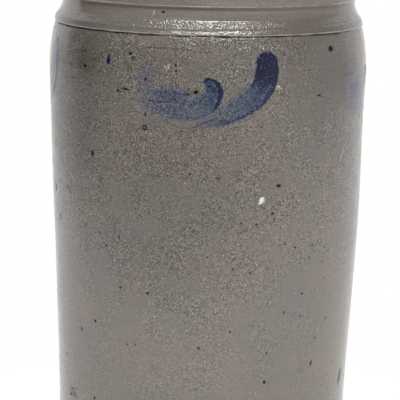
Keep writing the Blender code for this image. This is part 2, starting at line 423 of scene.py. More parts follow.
def flaws_at(place, across, up):
    """Returns how much iron and chip a place has, and how deep they dent it in millimetres."""
    seen = {"iron": 0.0, "chip": 0.0}
    dent = 0.0
    around = math.pi * ROUND_THE_JAR
    for _, number, _ in flaw_map.find_range(place, FLAW_REACH * MM):
        kind, strength, (flaw_across, flaw_up, half_wide, half_high, tilt) = flaws[number]
        aside = (across - flaw_across + around) % (2 * around) - around
        rise = up - flaw_up
        lean = math.radians(tilt)
        along = (aside * math.cos(lean) + rise * math.sin(lean)) / half_wide
        over = (rise * math.cos(lean) - aside * math.sin(lean)) / half_high
        ragged = LIP_RAGGED * noise.noise(place / (LIP_GRAIN * MM))
        amount = 1 - ease(LIP_FULL, LIP_GONE, math.hypot(along, over) + ragged)
        seen[kind] = max(seen[kind], strength * amount)
        dent = max(dent, strength * amount * (PIT_DEPTH if kind == "iron" else CHIP_DEPTH))
    return seen["iron"], seen["chip"], dent


dents = [flaws_at(on_wall(*flaw[:2]), *flaw[:2])[2] for kind, strength, flaw in flaws]
print(f"deepest dent {max(dents):.2f} mm")

# %% Cut the mesh finer around each flaw
FINE_CUTS = 4
FINE_MARGIN = 1.6


def refine_flaws(mesh):
    """Divides the edges that lie on a flaw, so that its small dent has points to hold it."""
    close = []
    for edge in mesh.edges:
        middle = (edge.verts[0].co + edge.verts[1].co) / 2
        if math.hypot(middle.x, middle.y) / MM < FOOT_RADIUS - 0.5:
            continue
        for _, number, distance in flaw_map.find_range(middle, FLAW_REACH * MM):
            reach = max(flaws[number][2][2:4]) + FINE_MARGIN
            if distance < reach * MM:
                close.append(edge)
                break
    bmesh.ops.subdivide_edges(mesh, edges=close, cuts=FINE_CUTS, use_grid_fill=True)
    return len(close)


print(f"{refine_flaws(shell)} edges divided, clay now with {len(shell.faces)} faces")

# %% [markdown]
# The wheel and the hand leave their own marks: the wall isn't quite round, and the fingers draw a slow
# screw thread up it. Both are small pushes along the radius. Noise gives the first, and a sine of the
# height and the turn gives the second, fainter where the noise says that the rib smoothed it away.

# %% Push the wall in and out as the hand did
THREAD_PITCH = 7.5
THREAD_DEPTH = 0.05
THREAD_WANDER = 2.5
OUT_OF_ROUND = 0.16
STRETCH = 70.0
PRESS_MEAN = 0.55
PRESS_RANGE = 0.9
ELSEWHERE = Vector((5.0, 3.0, 0.0))
ROUND_WAVES = 1.1
PRESS_WAVES = 2.3
WANDER_WAVES = 1.7
LEAN = 0.8
LEAN_UP = 101.0
LEAN_REACH = 88.0
FADE = 4.0


def hand_push(turn, up):
    """Returns how far the hand pushed the wall out at a turn and a height, in millimetres."""
    round_place = Vector((math.cos(turn), math.sin(turn), up / STRETCH))
    uneven = OUT_OF_ROUND * noise.noise(round_place * ROUND_WAVES)
    pressed = PRESS_MEAN + PRESS_RANGE * noise.noise(round_place * PRESS_WAVES + ELSEWHERE)
    wander = THREAD_WANDER * noise.noise(round_place * WANDER_WAVES)
    wave = math.sin(math.tau * up / THREAD_PITCH + turn + wander)
    thread = THREAD_DEPTH * max(pressed, 0.0) * wave * ease(GROOVE_UP, GROOVE_UP - 3 * FADE, up)
    lean = LEAN * math.sin(turn) * ease(LEAN_REACH, 0.0, abs(up - LEAN_UP))
    return (uneven + thread + lean) * ease(0.0, FADE, up) * ease(TOP, TOP - FADE, up)


pushes = [hand_push(step / 10, LEAN_UP) for step in range(63)]
print(f"pushed from {min(pushes):.2f} to {max(pushes):.2f} mm round the belly")

# %% [markdown]
# The ring was turned with a sharp tool held by hand, so its groove is deep in one place and all but
# closed in the next, and the fine line scored above it climbs as the jar turns. A cut is a push inwards
# that fades away on both sides of the line like a bell curve.

# %% Score the lines of the tool
# How far above the groove, climb over half a turn, half width, depth, and the turn where it fades out.
SCORED_LINES = (
    (3.1, 3.6, 0.28, 0.65, 2.6),
    (-6.6, 0.5, 0.35, 0.09, 2.9),
    (-8.4, 0.4, 0.3, 0.07, 2.4),
)
GROOVE_DEPTH = 0.34
GROOVE_HALF = 0.38
GROOVE_BREAK = 0.45
SWELL = 0.7
SWELL_UP = 3.7
SWELL_HALF = 1.8
GROOVE_WAVER = 0.3
GROOVE_UNEVEN = 0.5
LINE_WAVER = 0.15
TOOLED_LOW = GROOVE_UP - 12.0
TOOLED_HIGH = RING_UP + 4.0


def groove_at(turn):
    """Returns the height and the depth of the groove at a turn, in millimetres."""
    round_place = Vector((math.cos(turn), math.sin(turn), 0.0))
    middle = GROOVE_UP + GROOVE_WAVER * noise.noise(round_place * 9.0)
    broken = noise.noise(round_place * 16.0) + 0.6 * noise.noise(round_place * 5.0)
    deep = GROOVE_DEPTH * (1.0 - GROOVE_UNEVEN * math.sin(turn)) + GROOVE_BREAK * broken
    return middle, max(deep, 0.0)


def tool_cut(turn, up):
    """Returns how deep the tool cut, less how far the ring swelled at both sides, in millimetres."""
    if not TOOLED_LOW < up < TOOLED_HIGH:
        return 0.0
    round_place = Vector((math.cos(turn), math.sin(turn), 0.0))
    middle, deep = groove_at(turn)
    cut = deep * math.exp(-((up - middle) / GROOVE_HALF) ** 2)
    cut -= SWELL * math.sin(turn) ** 2 * math.exp(-((up - GROOVE_UP - SWELL_UP) / SWELL_HALF) ** 2)
    for above, climb, half, depth, fade in SCORED_LINES:
        line = GROOVE_UP + above + climb * math.sin(turn / 2)
        line += LINE_WAVER * noise.noise(round_place * 6.0)
        uneven = 0.7 + 0.6 * noise.noise(round_place * (4.0 + above))
        faint = ease(fade, fade - 0.6, abs(turn)) * uneven
        cut += depth * faint * math.exp(-((up - line) / half) ** 2)
    return cut


print("deepest groove:", round(max(tool_cut(turn / 50, GROOVE_UP) for turn in range(-157, 157)), 2), "mm")

# %% [markdown]
# Now the marks come together. Each point of the outside is moved along its radius by the hand, the
# tool and the flaws. How much iron or chip it has is kept on the point as an attribute, so that the
# glaze can be dark in the very dents that the mesh has. Painted shade is added to the iron where the
# groove is deep, and a few clusters of painted glints lie among the chips.

# %% Press and score the clay
GROOVE_SHADE = 0.75
GROOVE_SHADE_FROM = 0.1
GROOVE_SHADE_FULL = 0.5
INSIDE_FROM = FOOT_RADIUS - 0.4
SIDE_FROM = 3.0


def press_wall(mesh):
    """Moves the outside of the clay by hand, tool and flaws, and keeps iron with painted shade in the deep
    groove, and chips with painted glints, as attributes.
    """
    iron_and_groove_shade_layer = mesh.verts.layers.float.new("iron")
    chip_and_glint_layer = mesh.verts.layers.float.new("chip")
    moved = 0
    for vert in mesh.verts:
        radius = math.hypot(vert.co.x, vert.co.y) / MM
        up = vert.co.z / MM
        if radius < INSIDE_FROM or up < 0.01:
            continue
        turn = math.atan2(vert.co.x, -vert.co.y)
        across = turn * ROUND_THE_JAR
        iron, chip, dent = flaws_at(vert.co, across, up)
        groove_up, deep = groove_at(turn)
        # Painted shade: the deep groove is darkened by adding to the iron.
        groove_shade_share = GROOVE_SHADE * ease(GROOVE_SHADE_FROM, GROOVE_SHADE_FULL, deep)
        groove_shade = groove_shade_share * math.exp(-((up - groove_up) / GROOVE_HALF) ** 2)
        vert[iron_and_groove_shade_layer] = max(iron, groove_shade)
        vert[chip_and_glint_layer] = chip
        on_side = FOOT_RADIUS < radius and SIDE_FROM < up < RIDGE_UP
        smooth_radius = wall_radius(up) if on_side else radius
        pushed = smooth_radius + hand_push(turn, up) - tool_cut(turn, up) - dent
        vert.co.xy *= pushed / radius
        moved += 1
    return moved


print(f"{press_wall(shell)} points of the wall pressed")

# %% [markdown]
# ## From a mesh to a piece of the jar
#
# Every finished piece is an object at the origin with its place in its mesh, just as the solids are.
# It rides on the one body of the jar and hides the solid that it takes the place of. One
# short function does all of that for each piece that follows.

# %% Turn a bmesh into a piece


def make_piece(name, mesh, materials, slot, *nodes):
    """Returns a new object with the mesh and its materials, in place of the named solids."""
    data = bpy.data.meshes.new(name)
    mesh.to_mesh(data)
    mesh.free()
    for material in materials:
        data.materials.append(material)
    piece = bpy.data.objects.new(name, data)
    scene.collection.objects.link(piece)
    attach(piece, "root")
    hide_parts(*nodes)
    triangles = sum(len(polygon.vertices) - 2 for polygon in data.polygons)
    print(f"{name}: {triangles} triangles")
    return piece


# %% [markdown]
# ## Salt glaze
#
# Salt thrown into the kiln at white heat turns to vapour and makes a thin glass with the clay itself.
# It beads up into a fine pebbled skin, the orange peel, and the grey-brown of the clay shows through
# it, warmer or cooler from place to place, with iron specks and pale grit. The same finish covers the
# clay and the cobalt under it, so one function makes both, and the patterns run on from one to the
# other because they are read from the jar's own coordinates.

# %% Write colours and nodes briefly
LAY_OVER = {"data_type": "RGBA"}
SHADE = {"data_type": "RGBA", "blend_type": "MULTIPLY"}
EASE = {"interpolation_type": "SMOOTHSTEP"}
SEEDED = {"noise_dimensions": "4D"}


def linear(code):
    """Turns an sRGB hex colour into the linear colour that a shader socket takes."""
    channels = [int(code[start:start + 2], 16) / 255 for start in (1, 3, 5)]
    return (*[c / 12.92 if c <= 0.04045 else ((c + 0.055) / 1.055) ** 2.4 for c in channels], 1.0)


def per_metre(millimetres):
    """Returns the texture scale at which a pattern repeats about every so many millimetres."""
    return 1 / (millimetres * MM)


def add(tree, kind, settings, feeds, out=0):
    """Adds a node with its settings, sets or links its inputs, and returns the output asked for."""
    node = tree.nodes.new("ShaderNode" + kind)
    for name, value in settings.items():
        setattr(node, name, value)
    for socket, value in feeds.items():
        if isinstance(value, bpy.types.NodeSocket):
            tree.links.new(value, node.inputs[socket])
        else:
            node.inputs[socket].default_value = value
    return node.outputs[out]


def new_finish(name):
    """Returns a new material, its node tree, its shader and the jar's own coordinates."""
    material = bpy.data.materials.new(name)
    material.use_nodes = True
    tree = material.node_tree
    place = add(tree, "TexCoord", {}, {}, "Object")
    return material, tree, tree.nodes["Principled BSDF"], place


print("grey clay in linear light:", [round(c, 3) for c in linear("#7d7772")])

# %% [markdown]
# The clay fired grey-brown, cooler and warmer in slow clouds, with a pink blush here and there. It is
# painted darker towards the shoulder and in a few clouds beside it, mostly painted shade and partly
# smoke of the kiln, and the neck is painted paler. Clouds of noise with a size in millimetres give that.
# Unlike a painted picture they have no edge or seam.

# %% Mix the colour of the fired clay
CLAY_COOL = linear("#7a756f")
CLAY_WARM = linear("#807870")
CLAY_PINK = linear("#857870")
CLAY_SMOKED_AND_SHADED = linear("#56504a")
CLAY_PALER_NECK = linear("#96867d")
TONE_SIZE = 46.0
BLUSH_SIZE = 15.0
GRAIN_SIZE = 1.3
BLUSH_SHARE = 0.55
PALER_NECK_SHARE = 0.33
SHADE_AND_SMOKE_SHARE = 0.4
SHADE_AND_SMOKE_LOW = 40.0
SHADE_AND_SMOKE_HIGH = 200.0
HEART = 0.15

# Where the clay is painted darker, mostly painted shade and partly smoke of the kiln: the middle of the
# cloud, its reach and how dark it makes the clay.
SMOKE_AND_SHADE_CLOUDS = (
    ((-20.0, -86.0, 130.0), 95.0, 0.3),
    ((-76.0, -47.0, 202.0), 50.0, 0.6),
    ((-76.0, -47.0, 160.0), 42.0, 0.4),
    ((68.0, -54.0, 222.0), 75.0, 0.38),
)


def near_to(tree, place, middle, reach):
    """Returns one at a place on the jar, easing to nothing at a reach from it, both in millimetres."""
    spot = [value * MM for value in middle]
    away = add(tree, "VectorMath", {"operation": "DISTANCE"}, {0: place, 1: spot}, "Value")
    return add(tree, "MapRange", EASE, {0: away, 1: reach * MM, 2: HEART * reach * MM})


def clay_colour(tree, place):
    """Returns the mottled grey-brown of the fired clay, painted darker towards the shoulder and paler on
    the neck, and the fine grain that breaks it up.
    """
    cloud = add(tree, "TexNoise", SEEDED, {"Vector": place, "W": 1.0, "Scale": per_metre(TONE_SIZE)})
    tone = add(tree, "MapRange", EASE, {0: cloud, 1: 0.36, 2: 0.64})
    colour = add(tree, "Mix", LAY_OVER, {0: tone, 6: CLAY_COOL, 7: CLAY_WARM}, 2)
    cloud = add(tree, "TexNoise", SEEDED, {"Vector": place, "W": 2.0, "Scale": per_metre(BLUSH_SIZE)})
    blush = add(tree, "MapRange", EASE, {0: cloud, 1: 0.45, 2: 0.7, 4: BLUSH_SHARE})
    colour = add(tree, "Mix", LAY_OVER, {0: blush, 6: colour, 7: CLAY_PINK}, 2)
    up = add(tree, "SeparateXYZ", {}, {0: place}, "Z")
    # Painted shade, with some smoke of the kiln: the clay darkens towards the shoulder and in the clouds
    # below.
    smoked_and_shaded = add(tree, "MapRange", EASE, {0: up, 1: SHADE_AND_SMOKE_LOW * MM, 2: SHADE_AND_SMOKE_HIGH * MM, 4: SHADE_AND_SMOKE_SHARE})
    for heart, reach, share in SMOKE_AND_SHADE_CLOUDS:
        there = near_to(tree, place, heart, reach)
        smoked_and_shaded = add(tree, "Math", {"operation": "MULTIPLY_ADD"}, {0: there, 1: share, 2: smoked_and_shaded})
    colour = add(tree, "Mix", LAY_OVER, {0: smoked_and_shaded, 6: colour, 7: CLAY_SMOKED_AND_SHADED}, 2)
    # The neck between the ring and the ridge is painted paler.
    paler_neck = add(tree, "MapRange", EASE, {0: up, 1: RING_UP * MM, 2: RIDGE_UP * MM, 4: PALER_NECK_SHARE})
    colour = add(tree, "Mix", LAY_OVER, {0: paler_neck, 6: colour, 7: CLAY_PALER_NECK}, 2)
    grain = add(tree, "TexNoise", SEEDED, {
        "Vector": place, "W": 3.0, "Scale": per_metre(GRAIN_SIZE), "Detail": 3.0})
    return colour, grain


print(f"clay in clouds of {TONE_SIZE:.0f} and {BLUSH_SIZE:.0f} mm, smoked in {len(SMOKE_AND_SHADE_CLOUDS)} places")

# %% [markdown]
# The orange peel isn't even. It is strong on the belly, weak near the foot and on the tooled ring, and
# it comes and goes in patches of a thumb's width. One number between nothing and a little over one says
# how strong it is at a place, and colour and bump both follow that number.

# %% Say where the orange peel is strong
PATCH_SIZE = 17.0
PATCH_CALM = 0.4
PATCH_ROUGH = 1.05
LEAST_PEEL = 0.15
FOOT_PEEL = 0.45
RING_PEEL = 0.32
NECK_PEEL = 0.6
RIM_PEEL = 0.45
TIMES = {"operation": "MULTIPLY"}
LARGER = {"operation": "MAXIMUM"}

# Where the peel is calmer or rougher than elsewhere: the middle of the place, its reach and the change.
PEEL_PLACES = (
    ((62.0, -62.0, 75.0), 85.0, -0.45),
    ((-62.0, -60.0, 60.0), 70.0, -0.35),
    ((-80.0, -36.0, 180.0), 55.0, 0.6),
    ((-80.0, -34.0, 222.0), 40.0, -0.4),
    ((74.0, -48.0, 216.0), 52.0, -0.55),
)
# Between which two heights the peel changes, and by what factor below and above them.
PEEL_BANDS = (
    (15.0, 120.0, FOOT_PEEL, 1.0),
    (GROOVE_UP, GROOVE_UP + 0.8, 1.0, RING_PEEL),
    (GROOVE_UP + 8.0, GROOVE_UP + 9.2, 1.0, NECK_PEEL),
)


def peel_strength(tree, place):
    """Returns how rough the orange peel is: patchy on the wall, smooth on the ring and the neck."""
    cloud = add(tree, "TexNoise", SEEDED, {"Vector": place, "W": 6.0, "Scale": per_metre(PATCH_SIZE)})
    patch = add(tree, "MapRange", EASE, {0: cloud, 1: 0.34, 2: 0.6, 3: PATCH_CALM, 4: PATCH_ROUGH})
    for middle, reach, change in PEEL_PLACES:
        there = near_to(tree, place, middle, reach)
        patch = add(tree, "Math", {"operation": "MULTIPLY_ADD"}, {0: there, 1: change, 2: patch})
    patch = add(tree, "Math", LARGER, {0: patch, 1: LEAST_PEEL})
    up = add(tree, "SeparateXYZ", {}, {0: place}, "Z")
    strength = patch
    for low, high, below, above in PEEL_BANDS:
        factor = add(tree, "MapRange", EASE, {0: up, 1: low * MM, 2: high * MM, 3: below, 4: above})
        strength = add(tree, "Math", TIMES, {0: strength, 1: factor})
    rim = add(tree, "MapRange", EASE, {
        0: up, 1: RIDGE_UP * MM, 2: (RIDGE_UP + 1.5) * MM, 4: RIM_PEEL})
    rim = add(tree, "Math", TIMES, {0: rim, 1: patch})
    return add(tree, "Math", LARGER, {0: strength, 1: rim})


print(f"peel in patches of {PATCH_SIZE:.0f} mm, {RING_PEEL} of full strength on the ring")

# %% [markdown]
# Cobalt is the blue of the swags. Where the slip is thinnest the clay shows through it in violet grey;
# more of it is slate, then blue, and the full head of a stroke is nearly black ink. The load of slip is
# kept on the points of a stroke, so the colour is laid on in steps of that load, and the grain and the
# beads of the glaze break it up as they do on a real brush mark.

# %% Lay cobalt over the clay
COBALT_THIN = linear("#5f5f6f")
COBALT_WASH = linear("#3a4759")
COBALT_BLUE = linear("#1e2a55")
COBALT_INK = linear("#030828")
GRAIN_BREAK = (0.55, 1.4)
BEAD_BREAK = (0.62, 1.3)

# Loads of slip between which a colour comes up, how far it covers, and the colour.
COBALT_STEPS = (
    (0.0, 0.14, 0.75, COBALT_THIN),
    (0.1, 0.42, 0.9, COBALT_WASH),
    (0.44, 0.8, 0.9, COBALT_BLUE),
    (0.75, 1.35, 1.0, COBALT_INK),
)


def brushed_cobalt(tree, colour, grain, beads):
    """Lays cobalt over the clay: violet where it is thinnest, then slate, blue and ink."""
    load = add(tree, "Attribute", {"attribute_name": "cobalt"}, {}, "Fac")
    for pattern, (least, most) in ((grain, GRAIN_BREAK), (beads, BEAD_BREAK)):
        broken = add(tree, "MapRange", {}, {0: pattern, 1: 0.34, 2: 0.66, 3: least, 4: most})
        load = add(tree, "Math", TIMES, {0: load, 1: broken})
    for low, high, share, ink in COBALT_STEPS:
        cover = add(tree, "MapRange", EASE, {0: load, 1: low, 2: high, 4: share})
        colour = add(tree, "Mix", LAY_OVER, {0: cover, 6: colour, 7: ink}, 2)
    return colour


print(f"cobalt in {len(COBALT_STEPS)} steps, full ink at a load of {COBALT_STEPS[-1][1]}")

# %% [markdown]
# On top of all that lie the small things: painted shade in the hollows of the pebbles and painted sheen
# on their tops, faint streaks of the rib, specks of iron, pinholes, pale dots that are partly grit and
# partly painted glints, painted highlights along the two sharp edges where the glaze also runs thin, and
# last the iron and the chips that the mesh was dented for, the iron with painted shade in the deep groove
# added and the chips with a few clusters of painted glints. A dot is the middle of a cell of a Voronoi
# texture.

# %% Break the colour up with specks, streaks and flaws
PALE_GRIT_AND_HIGHLIGHT = linear("#d2ccc4")
CLAY_DARK = linear("#3f3935")
IRON_BLACK = linear("#15110f")
CHIP_AND_GLINT_WHITE = linear("#e6e2da")
COBALT_GRIT_AND_GLINT = linear("#7f8299")
PEBBLE_HOLLOW_SHADE = 0.38
PEBBLE_TOP_SHEEN = 1.56
STREAK_LONG = 30.0
STREAK_HIGH = 1.1
STREAK_DARK = 0.84
STREAK_PALE = 1.1
STREAKS_FROM = 180.0
STREAKS_FULL = 215.0
STREAKS_LEAST = 0.15
STREAKS_MOST = 0.6
EDGE_HIGHLIGHT_HALF = 0.55
EDGE_HIGHLIGHT_BREAKUP_SIZE = 7.0
EDGE_HIGHLIGHT_LEAST = 0.25

# Size of a cell, radius of the dot in it, colour and strength: iron specks, pinholes, and pale dots that
# are partly grit and partly painted glints of the glaze.
DOTS = (
    (5.5, 0.45, IRON_BLACK, 0.9),
    (2.7, 0.3, CLAY_DARK, 0.8),
    (2.6, 0.36, PALE_GRIT_AND_HIGHLIGHT, 0.85),
)
# Over cobalt the pale dots, grit and painted glints, are tinted bluish, so they show less.
COBALT_DOTS = (*DOTS[:2], (2.6, 0.36, COBALT_GRIT_AND_GLINT, 0.7))
# Heights of the two sharp edges that get a pale painted highlight, where they catch the light and the glaze
# runs thin, and how strong it is.
EDGE_HIGHLIGHTS = ((GROOVE_UP + 0.75, 0.34), (RIDGE_UP - 0.45, 0.24))


def pebble_shade_and_rib_streaks(tree, place, colour, peel, pebbles):
    """Darkens the hollows and lightens the tops of the pebbles, as painted shade and sheen of the peel, and
    adds the streaks of the rib.
    """
    # Painted shade and sheen: darker in the hollows of the pebbles and lighter on their tops.
    pebble_shade_and_sheen = add(tree, "MapRange", EASE, {0: pebbles, 1: 0.37, 2: 0.63, 3: PEBBLE_HOLLOW_SHADE, 4: PEBBLE_TOP_SHEEN})
    colour = add(tree, "Mix", SHADE, {0: peel, 6: colour, 7: pebble_shade_and_sheen}, 2)
    drawn_out = add(tree, "Mapping", {}, {"Vector": place, "Scale": (
        per_metre(STREAK_LONG), per_metre(STREAK_LONG), per_metre(STREAK_HIGH))})
    streak = add(tree, "TexNoise", {}, {"Vector": drawn_out, "Scale": 1.0})
    streak = add(tree, "MapRange", EASE, {0: streak, 1: 0.3, 2: 0.7, 3: STREAK_DARK, 4: STREAK_PALE})
    up = add(tree, "SeparateXYZ", {}, {0: place}, "Z")
    shoulder = add(tree, "MapRange", EASE, {
        0: up, 1: STREAKS_FROM * MM, 2: STREAKS_FULL * MM, 3: STREAKS_LEAST, 4: STREAKS_MOST})
    return add(tree, "Mix", SHADE, {0: shoulder, 6: colour, 7: streak}, 2)


def flaws_glints_and_edge_highlights(tree, place, colour, peel, dots):
    """Lays dots, painted highlights on the two sharp edges, iron with painted groove shade, and chips with
    painted glints over a colour.
    """
    rough = add(tree, "MapRange", EASE, {0: peel, 1: 0.08, 2: 0.65})
    for cell, radius, ink, strength in dots:
        middle = add(tree, "TexVoronoi", {}, {"Vector": place, "Scale": per_metre(cell)})
        dot = add(tree, "MapRange", EASE, {
            0: middle, 1: radius / cell, 2: 0.4 * radius / cell, 4: strength})
        dot = add(tree, "Math", TIMES, {0: dot, 1: rough})
        colour = add(tree, "Mix", LAY_OVER, {0: dot, 6: colour, 7: ink}, 2)
    up = add(tree, "SeparateXYZ", {}, {0: place}, "Z")
    # Painted highlights: pale lines along the two sharp edges, where they catch the light and the glaze
    # runs thin, broken up by noise.
    ran = add(tree, "TexNoise", SEEDED, {"Vector": place, "W": 9.0, "Scale": per_metre(EDGE_HIGHLIGHT_BREAKUP_SIZE)})
    ran = add(tree, "MapRange", EASE, {0: ran, 1: 0.38, 2: 0.6, 3: EDGE_HIGHLIGHT_LEAST})
    for edge_up, share in EDGE_HIGHLIGHTS:
        off = add(tree, "Math", {"operation": "SUBTRACT"}, {0: up, 1: edge_up * MM})
        off = add(tree, "Math", {"operation": "ABSOLUTE"}, {0: off})
        edge_highlight = add(tree, "MapRange", EASE, {
            0: off, 1: EDGE_HIGHLIGHT_HALF * MM, 2: 0.2 * EDGE_HIGHLIGHT_HALF * MM, 4: share})
        edge_highlight = add(tree, "Math", TIMES, {0: edge_highlight, 1: ran})
        colour = add(tree, "Mix", LAY_OVER, {0: edge_highlight, 6: colour, 7: PALE_GRIT_AND_HIGHLIGHT}, 2)
    # The iron attribute also holds painted shade in the deep groove, and the chip attribute holds a few
    # clusters of painted glints.
    for name, ink in (("iron", IRON_BLACK), ("chip", CHIP_AND_GLINT_WHITE)):
        share = add(tree, "Attribute", {"attribute_name": name}, {}, "Fac")
        colour = add(tree, "Mix", LAY_OVER, {0: share, 6: colour, 7: ink}, 2)
    return colour


print("a dot of each kind every", [cell for cell, radius, ink, strength in DOTS], "mm")

# %% [markdown]
# The pebbles are far too small to model one by one, so they are bump, from half a millimetre to one
# across. On the ring and just under it the glass gathered in larger beads, which break the lamp's
# reflection into a line of sparks.

# %% Raise the pebbles and the beads
PEBBLE_SIZE = 0.62
PEEL_DEPTH = 0.27
BEAD_SIZE = 0.88
BEAD_DEPTH = 0.4
ROLL_BEADS = 0.45
SHOULDER_BEADS = 0.8

# Between which two heights above the groove the beads of the ring change, and the factor on both sides.
BEAD_BANDS = ((3.0, 3.8, ROLL_BEADS, 1.0), (0.2, 0.8, 0.0, 1.0), (7.0, 8.4, 1.0, 0.0))


def orange_peel(tree, place, peel, pebbles, beads):
    """Returns the bumped normal of a skin of small pebbles, with beads of glaze on and under the ring."""
    up = add(tree, "SeparateXYZ", {}, {0: place}, "Z")
    below = add(tree, "MapRange", EASE, {
        0: up, 1: (GROOVE_UP - 18.0) * MM, 2: (GROOVE_UP - 2.0) * MM, 4: SHOULDER_BEADS})
    below = add(tree, "Math", TIMES, {0: below, 1: peel})
    ring = 1.0
    for low, high, under, over in BEAD_BANDS:
        factor = add(tree, "MapRange", EASE, {
            0: up, 1: (GROOVE_UP + low) * MM, 2: (GROOVE_UP + high) * MM, 3: under, 4: over})
        ring = add(tree, "Math", TIMES, {0: factor, 1: ring})
    beaded = add(tree, "Math", LARGER, {0: ring, 1: below})
    beads = add(tree, "Math", TIMES, {0: beads, 1: BEAD_DEPTH / PEEL_DEPTH})
    beads = add(tree, "Math", TIMES, {0: beads, 1: beaded})
    height = add(tree, "Math", {"operation": "MULTIPLY_ADD"}, {0: pebbles, 1: peel, 2: beads})
    return add(tree, "Bump", {}, {"Height": height, "Distance": PEEL_DEPTH * MM})


print(f"pebbles of {PEBBLE_SIZE} mm, beads of {BEAD_SIZE} mm")

# %% [markdown]
# Salt glaze is a glass, so it gleams like one, with a little dullness in slow patches. Its index starts
# at that of window glass and is raised until the jar's edges mirror the paper behind as strongly as the
# real ones do. Over the cobalt, which gleams less, it stays lower. A pit is open clay and hardly gleams.

# %% Make the glaze, over bare clay and over cobalt
SHEEN_SIZE = 9.0
GLOSSIEST = 0.06
DULLEST = 0.16
GLASS_IOR = 1.62
COBALT_IOR = 1.5
FULL_GLEAM = 0.5
PIT_GLEAM = 0.1


def salt_glaze(name, painted):
    """Returns the glaze over bare clay, or over clay that a brush has painted with cobalt."""
    material, tree, shader, place = new_finish(name)
    colour, grain = clay_colour(tree, place)
    peel = peel_strength(tree, place)
    pebbles = add(tree, "TexNoise", SEEDED, {
        "Vector": place, "W": 7.0, "Scale": per_metre(PEBBLE_SIZE), "Detail": 1.0})
    beads = add(tree, "TexNoise", SEEDED, {
        "Vector": place, "W": 8.0, "Scale": per_metre(BEAD_SIZE), "Detail": 0.0})
    if painted:
        colour = brushed_cobalt(tree, colour, grain, beads)
    colour = pebble_shade_and_rib_streaks(tree, place, colour, peel, pebbles)
    colour = flaws_glints_and_edge_highlights(tree, place, colour, peel, COBALT_DOTS if painted else DOTS)
    tree.links.new(colour, shader.inputs["Base Color"])
    sheen = add(tree, "TexNoise", SEEDED, {"Vector": place, "W": 4.0, "Scale": per_metre(SHEEN_SIZE)})
    roughness = add(tree, "MapRange", EASE, {0: sheen, 1: 0.3, 2: 0.7, 3: GLOSSIEST, 4: DULLEST})
    tree.links.new(roughness, shader.inputs["Roughness"])
    shader.inputs["IOR"].default_value = COBALT_IOR if painted else GLASS_IOR
    # The iron attribute also holds the painted shade of the deep groove, which dulls the gleam there too.
    pits_and_groove_shade = add(tree, "Attribute", {"attribute_name": "iron"}, {}, "Fac")
    gleam = add(tree, "MapRange", {}, {0: pits_and_groove_shade, 3: FULL_GLEAM, 4: PIT_GLEAM})
    tree.links.new(gleam, shader.inputs["Specular IOR Level"])
    tree.links.new(orange_peel(tree, place, peel, pebbles, beads), shader.inputs["Normal"])
    return material


# Thin salt glass over fired clay: a satin grey-brown skin that sparkles in points.
stoneware = salt_glaze("salt_glazed_stoneware", painted=False)
# Cobalt slip under the same glass: blue that is darkest where the brush was full.
cobalt = salt_glaze("cobalt_under_salt_glaze", painted=True)
print("glaze nodes:", len(stoneware.node_tree.nodes), len(cobalt.node_tree.nodes))

# %% [markdown]
# ## The bare foot
#
# A jar is cut from the wheel with a twisted wire and stands on its foot in the kiln, so the underside
# is dry clay without glaze, with the arcs that the wire left. The arcs are finer than the mesh of a
# face that nobody sees standing up, so they are rings of bump around a point off the middle.

# %% Make the clay of the foot
BARE_CLAY = linear("#8d8275")
BARE_DARK = linear("#6f6458")
BARE_PATCH = 14.0
WIRE_PITCH = 20.0
WIRE_DEPTH = 0.15
WIRE_MIDDLE = (50.0, 90.0)
DRY_ROUGHNESS = 0.85


def bare_clay():
    """Returns the dry, unglazed clay of a foot that was cut from the wheel with a wire."""
    material, tree, shader, place = new_finish("bare_stoneware")
    patch = add(tree, "TexNoise", {}, {"Vector": place, "Scale": per_metre(BARE_PATCH), "Detail": 4.0})
    tone = add(tree, "Mix", LAY_OVER, {0: patch, 6: BARE_CLAY, 7: BARE_DARK}, 2)
    tree.links.new(tone, shader.inputs["Base Color"])
    shader.inputs["Roughness"].default_value = DRY_ROUGHNESS
    off = [value * MM for value in WIRE_MIDDLE]
    aside = add(tree, "Mapping", {}, {"Vector": place, "Location": (*off, 0.0)})
    wire_cut = add(tree, "TexWave", {"wave_type": "RINGS", "rings_direction": "Z"}, {
        "Vector": aside, "Scale": per_metre(WIRE_PITCH), "Distortion": 1.5})
    bump = add(tree, "Bump", {}, {"Height": wire_cut, "Distance": WIRE_DEPTH * MM})
    tree.links.new(bump, shader.inputs["Normal"])
    return material


# Dry fired clay: matt, pale and a little dusty, with the arcs of the wire.
foot_clay = bare_clay()
print("bare clay nodes:", len(foot_clay.node_tree.nodes))

# %% [markdown]
# The clay also gets a flat map, for anybody who wants to paint on the jar. The wall and the rim unroll
# into one strip with its seam at the back. The foot is a disc beside it, and the inside, which the
# lining hides, gets the corner that is left. The faces of the foot take the bare clay on the way.

# %% Unroll the clay into a flat map
STRIP_TOP = 0.72
DISC_MIDDLE = (0.13, 0.87)
DISC_RADIUS = 0.115
INSIDE_LEFT = 0.3
INSIDE_LOW = 0.76
MAP_EDGE = 0.99
MAP_OVERLAP = 4.0
UNDERSIDE = 2.0
FACING_DOWN = -0.8


